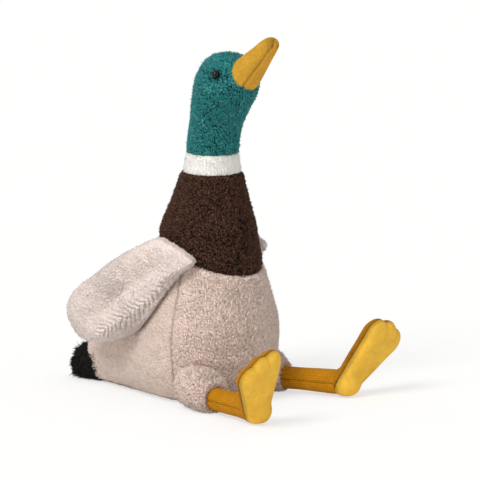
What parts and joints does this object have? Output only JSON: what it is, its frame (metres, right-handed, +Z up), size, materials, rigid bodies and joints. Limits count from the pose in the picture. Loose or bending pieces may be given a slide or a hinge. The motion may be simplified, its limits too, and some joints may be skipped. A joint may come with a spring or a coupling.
{
  "type": "plush duck",
  "caption": "Sitting plush duck with a raised bill, a pale neck band, two floppy wings, hinged stuffed legs and webbed feet.",
  "frame": {"origin": "on the floor under the middle of the belly, at the centre of the flat seat", "axes": "+Z up, -Y is the way the duck looks, +X is its left side"},
  "size_m": [0.2088, 0.2556, 0.2836],
  "materials": {
    "belly": "short-pile taupe plush",
    "wing": "brushed short-pile taupe plush, a little paler",
    "chest": "short-pile dark brown plush",
    "collar": "short-pile cream plush",
    "head": "glossy short-pile teal plush",
    "tail": "long-pile black plush",
    "rib": "fine-rib ochre cord cloth",
    "sole": "smooth ochre cloth",
    "filling": "white polyester fibre filling",
    "pouch": "cotton bag of plastic beans",
    "eye": "glossy black moulded plastic",
    "washer": "plain moulded plastic"
  },
  "bodies": {
    "body": {"seat_panel": "belly", "belly_panel": "belly", "side_panel_right": "belly", "side_panel_left": "belly", "body_filling": "filling", "bean_pouch": "pouch", "tail_cover": "tail", "tail_filling": "filling"},
    "neck": {"neck_cover": "chest", "neck_filling": "filling"},
    "head": {"collar_band": "collar", "head_panel_right": "head", "head_panel_left": "head", "eye_right": "eye", "eye_left": "eye", "eye_washer_right": "washer", "eye_washer_left": "washer", "head_filling": "filling", "upper_bill": "rib", "lower_bill": "sole", "bill_filling": "filling"},
    "wing_right": {"wing_outer_right": "wing", "wing_inner_right": "wing", "wing_filling_right": "filling"},
    "wing_left": {"wing_outer_left": "wing", "wing_inner_left": "wing", "wing_filling_left": "filling"},
    "leg_right": {"thigh_cover_right": "belly", "thigh_filling_right": "filling", "shin_cover_right": "rib", "shin_filling_right": "filling"},
    "leg_left": {"thigh_cover_left": "belly", "thigh_filling_left": "filling", "shin_cover_left": "rib", "shin_filling_left": "filling"},
    "foot_right": {"foot_sole_right": "sole", "foot_top_right": "rib", "foot_filling_right": "filling"},
    "foot_left": {"foot_sole_left": "sole", "foot_top_left": "rib", "foot_filling_left": "filling"}
  },
  "joints": [
    {"name": "neck_bend", "type": "hinge", "parent": "body", "child": "neck", "pos_m": [0, -0.00127, 0.1342], "axis": [1, 0, 0], "range_deg": [-12, 12], "stiffness_Nm_per_rad": 1},
    {"name": "head_nod", "type": "hinge", "parent": "neck", "child": "head", "pos_m": [0, 0.0024, 0.19], "axis": [1, 0, 0], "range_deg": [-20, 20], "stiffness_Nm_per_rad": 0.5},
    {"name": "wing_right_lift", "type": "hinge", "parent": "body", "child": "wing_right", "pos_m": [-0.043, -0.015, 0.1155], "axis": [-0.0819, 0.9361, 0.342], "range_deg": [0, 80]},
    {"name": "wing_left_lift", "type": "hinge", "parent": "body", "child": "wing_left", "pos_m": [0.043, -0.015, 0.1155], "axis": [-0.0819, -0.9361, -0.342], "range_deg": [0, 80]},
    {"name": "hip_right_lift", "type": "hinge", "parent": "body", "child": "leg_right", "pos_m": [-0.045, -0.018, 0.017], "axis": [-0.9659, 0.2588, 0], "range_deg": [-10, 30]},
    {"name": "hip_left_lift", "type": "hinge", "parent": "body", "child": "leg_left", "pos_m": [0.045, -0.004, 0.017], "axis": [-0.9744, -0.225, 0], "range_deg": [-10, 30]},
    {"name": "ankle_right_bend", "type": "hinge", "parent": "leg_right", "child": "foot_right", "pos_m": [-0.06467, -0.09141, 0.011], "axis": [0.8886, -0.1685, 0.4267], "range_deg": [-20, 20], "stiffness_Nm_per_rad": 0.08},
    {"name": "ankle_left_bend", "type": "hinge", "parent": "leg_left", "child": "foot_left", "pos_m": [0.0621, -0.07805, 0.011], "axis": [0.8939, 0.1374, -0.4267], "range_deg": [-20, 20], "stiffness_Nm_per_rad": 0.08}
  ]
}
